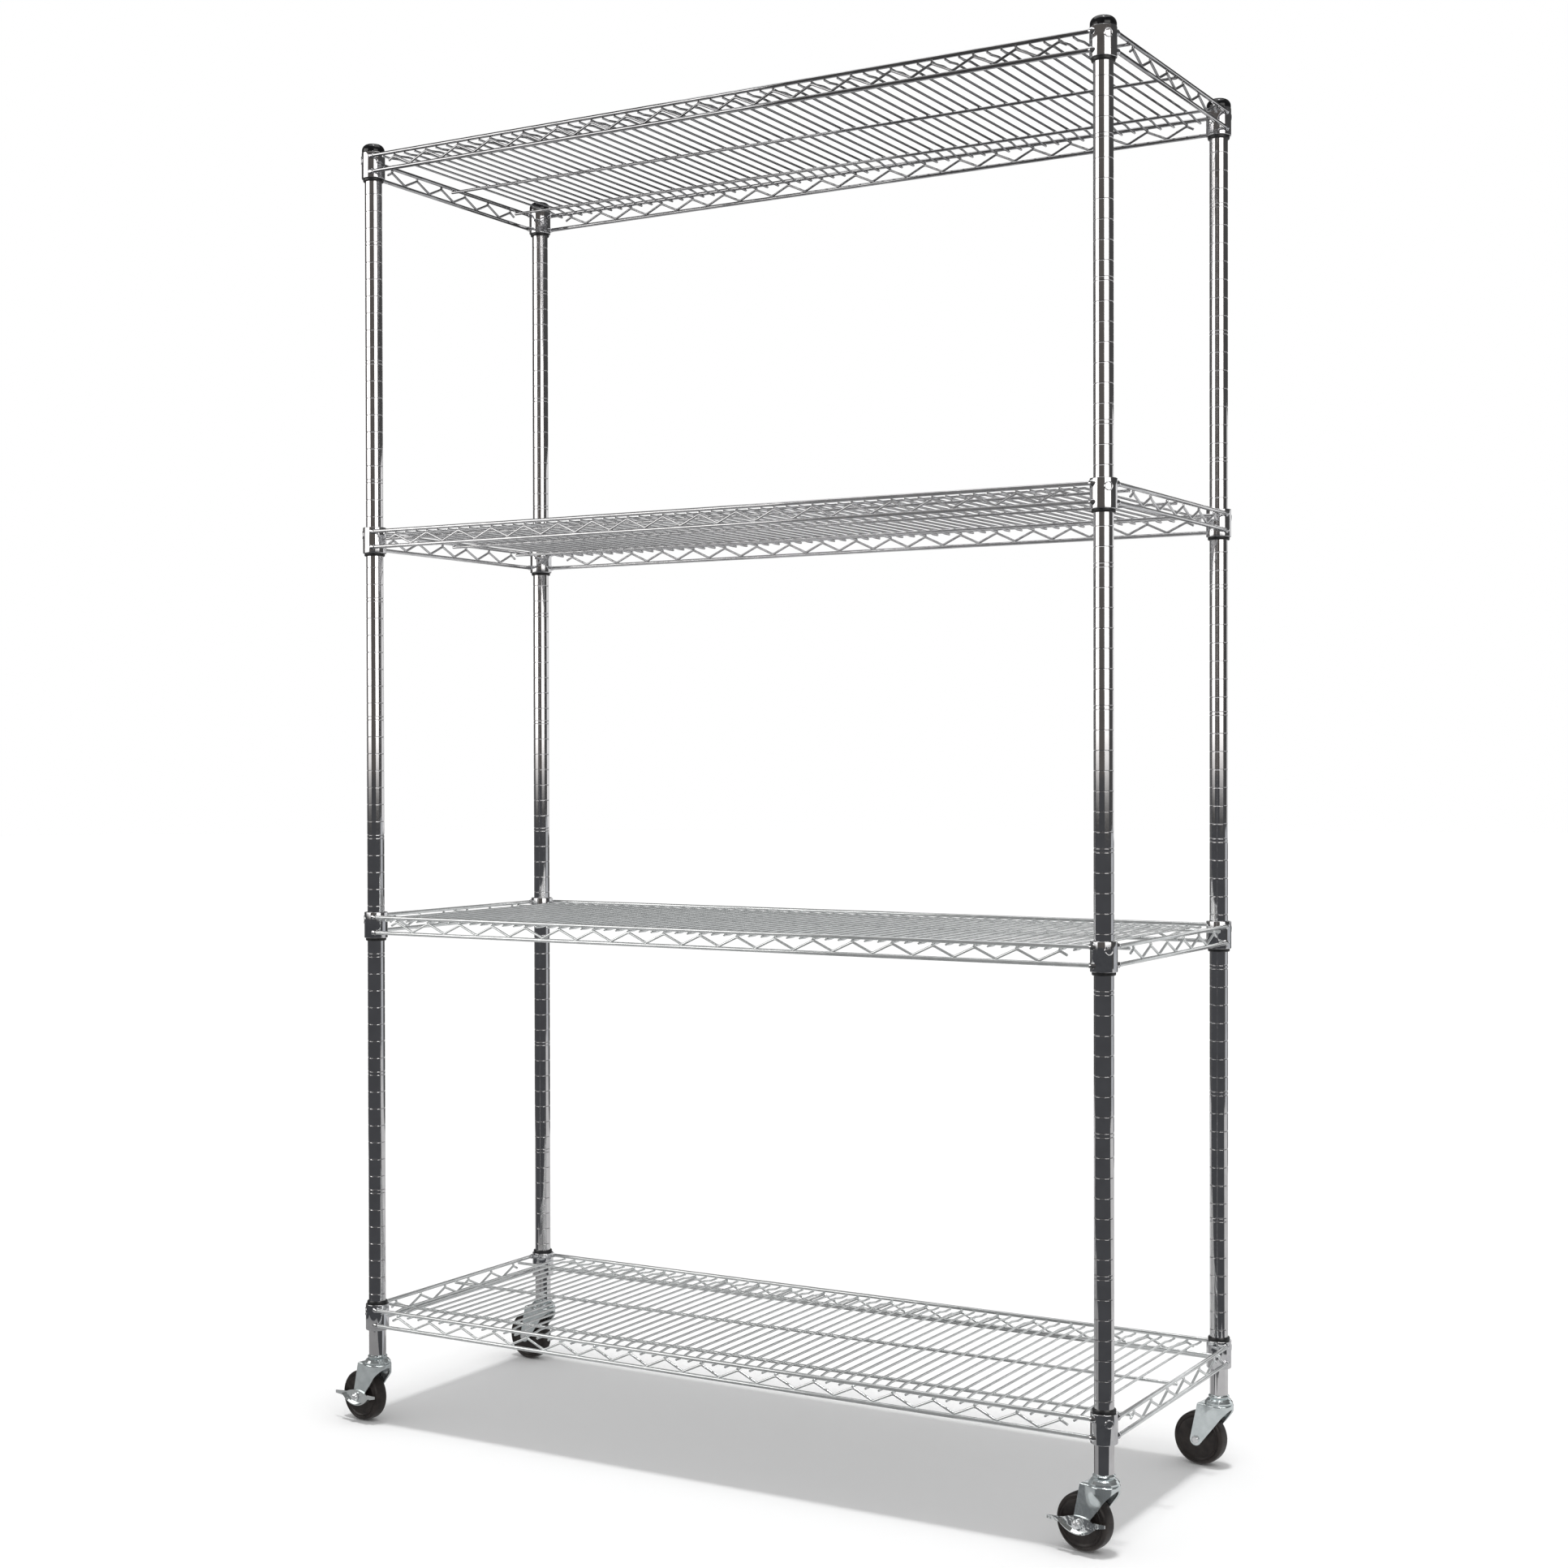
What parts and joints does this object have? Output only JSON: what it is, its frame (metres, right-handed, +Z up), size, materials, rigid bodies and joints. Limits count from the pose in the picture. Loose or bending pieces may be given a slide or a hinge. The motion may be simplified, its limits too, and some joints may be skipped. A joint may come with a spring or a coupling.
{
  "type": "wire shelving rack",
  "caption": "Tall wire shelving rack with wire-deck shelves on grooved tube posts, wedge-collar corners and swivel casters, the front ones with brake levers.",
  "frame": {"origin": "on the floor plane, at the centre of the four posts", "axes": "+X along the long side towards the right-hand posts, +Y from the front to the back, +Z up"},
  "size_m": [1.2713, 0.4696, 1.9225],
  "materials": {
    "post": "bright chrome-plated steel tube",
    "wire": "bright chrome-plated steel wire",
    "collar": "bright chrome-plated steel collar",
    "cap": "dark glossy end cap",
    "sleeve": "black plastic",
    "insert": "plain steel",
    "zinc": "bright zinc-plated pressed steel",
    "axle": "zinc-plated steel fastener",
    "ball": "polished steel",
    "wheel": "dark moulded rubber, satin",
    "bushing": "natural nylon"
  },
  "bodies": {
    "rack": {"post_front_left": "post", "post_cap_front_left": "cap", "caster_stem_front_left": "zinc", "race_cup_front_left": "zinc", "post_front_right": "post", "post_cap_front_right": "cap", "caster_stem_front_right": "zinc", "race_cup_front_right": "zinc", "post_back_left": "post", "post_cap_back_left": "cap", "caster_stem_back_left": "zinc", "race_cup_back_left": "zinc", "post_back_right": "post", "post_cap_back_right": "cap", "caster_stem_back_right": "zinc", "race_cup_back_right": "zinc", "stem_inserts": "insert", "race_balls": "ball", "shelf_bottom_deck": "wire", "shelf_bottom_frame": "wire", "shelf_bottom_collars": "collar", "shelf_bottom_sleeves": "sleeve", "shelf_lower_deck": "wire", "shelf_lower_frame": "wire", "shelf_lower_collars": "collar", "shelf_lower_sleeves": "sleeve", "shelf_upper_deck": "wire", "shelf_upper_frame": "wire", "shelf_upper_collars": "collar", "shelf_upper_sleeves": "sleeve", "shelf_top_deck": "wire", "shelf_top_frame": "wire", "shelf_top_collars": "collar", "shelf_top_sleeves": "sleeve"},
    "swivel_front_left": {"fork_front_left": "zinc", "axle_bolt_front_left": "axle", "axle_nut_front_left": "axle"},
    "wheel_front_left": {"wheel_front_left": "wheel", "wheel_bushing_front_left": "bushing"},
    "brake_front_left": {"brake_lever_front_left": "zinc"},
    "swivel_front_right": {"fork_front_right": "zinc", "axle_bolt_front_right": "axle", "axle_nut_front_right": "axle"},
    "wheel_front_right": {"wheel_front_right": "wheel", "wheel_bushing_front_right": "bushing"},
    "brake_front_right": {"brake_lever_front_right": "zinc"},
    "swivel_back_left": {"fork_back_left": "zinc", "axle_bolt_back_left": "axle", "axle_nut_back_left": "axle"},
    "wheel_back_left": {"wheel_back_left": "wheel", "wheel_bushing_back_left": "bushing"},
    "swivel_back_right": {"fork_back_right": "zinc", "axle_bolt_back_right": "axle", "axle_nut_back_right": "axle"},
    "wheel_back_right": {"wheel_back_right": "wheel", "wheel_bushing_back_right": "bushing"}
  },
  "joints": [
    {"name": "swivel_front_left", "type": "hinge", "parent": "rack", "child": "swivel_front_left", "pos_m": [-0.5875, -0.21, 0.09], "axis": [0, 0, 1], "continuous": true},
    {"name": "wheel_spin_front_left", "type": "hinge", "parent": "swivel_front_left", "child": "wheel_front_left", "pos_m": [-0.61523, -0.2061, 0.0375], "axis": [-0.1392, -0.9903, 0], "continuous": true},
    {"name": "brake_front_left", "type": "hinge", "parent": "swivel_front_left", "child": "brake_front_left", "pos_m": [-0.61523, -0.2061, 0.0375], "axis": [-0.1392, -0.9903, 0], "range_deg": [0, 18]},
    {"name": "swivel_front_right", "type": "hinge", "parent": "rack", "child": "swivel_front_right", "pos_m": [0.5875, -0.21, 0.09], "axis": [0, 0, 1], "continuous": true},
    {"name": "wheel_spin_front_right", "type": "hinge", "parent": "swivel_front_right", "child": "wheel_front_right", "pos_m": [0.55993, -0.20514, 0.0375], "axis": [-0.1736, -0.9848, 0], "continuous": true},
    {"name": "brake_front_right", "type": "hinge", "parent": "swivel_front_right", "child": "brake_front_right", "pos_m": [0.55993, -0.20514, 0.0375], "axis": [-0.1736, -0.9848, 0], "range_deg": [0, 18]},
    {"name": "swivel_back_left", "type": "hinge", "parent": "rack", "child": "swivel_back_left", "pos_m": [-0.5875, 0.21, 0.09], "axis": [0, 0, 1], "continuous": true},
    {"name": "wheel_spin_back_left", "type": "hinge", "parent": "swivel_back_left", "child": "wheel_back_left", "pos_m": [-0.61523, 0.2139, 0.0375], "axis": [-0.1392, -0.9903, 0], "continuous": true},
    {"name": "swivel_back_right", "type": "hinge", "parent": "rack", "child": "swivel_back_right", "pos_m": [0.5875, 0.21, 0.09], "axis": [0, 0, 1], "continuous": true},
    {"name": "wheel_spin_back_right", "type": "hinge", "parent": "swivel_back_right", "child": "wheel_back_right", "pos_m": [0.55971, 0.21341, 0.0375], "axis": [-0.1219, -0.9925, 0], "continuous": true}
  ]
}
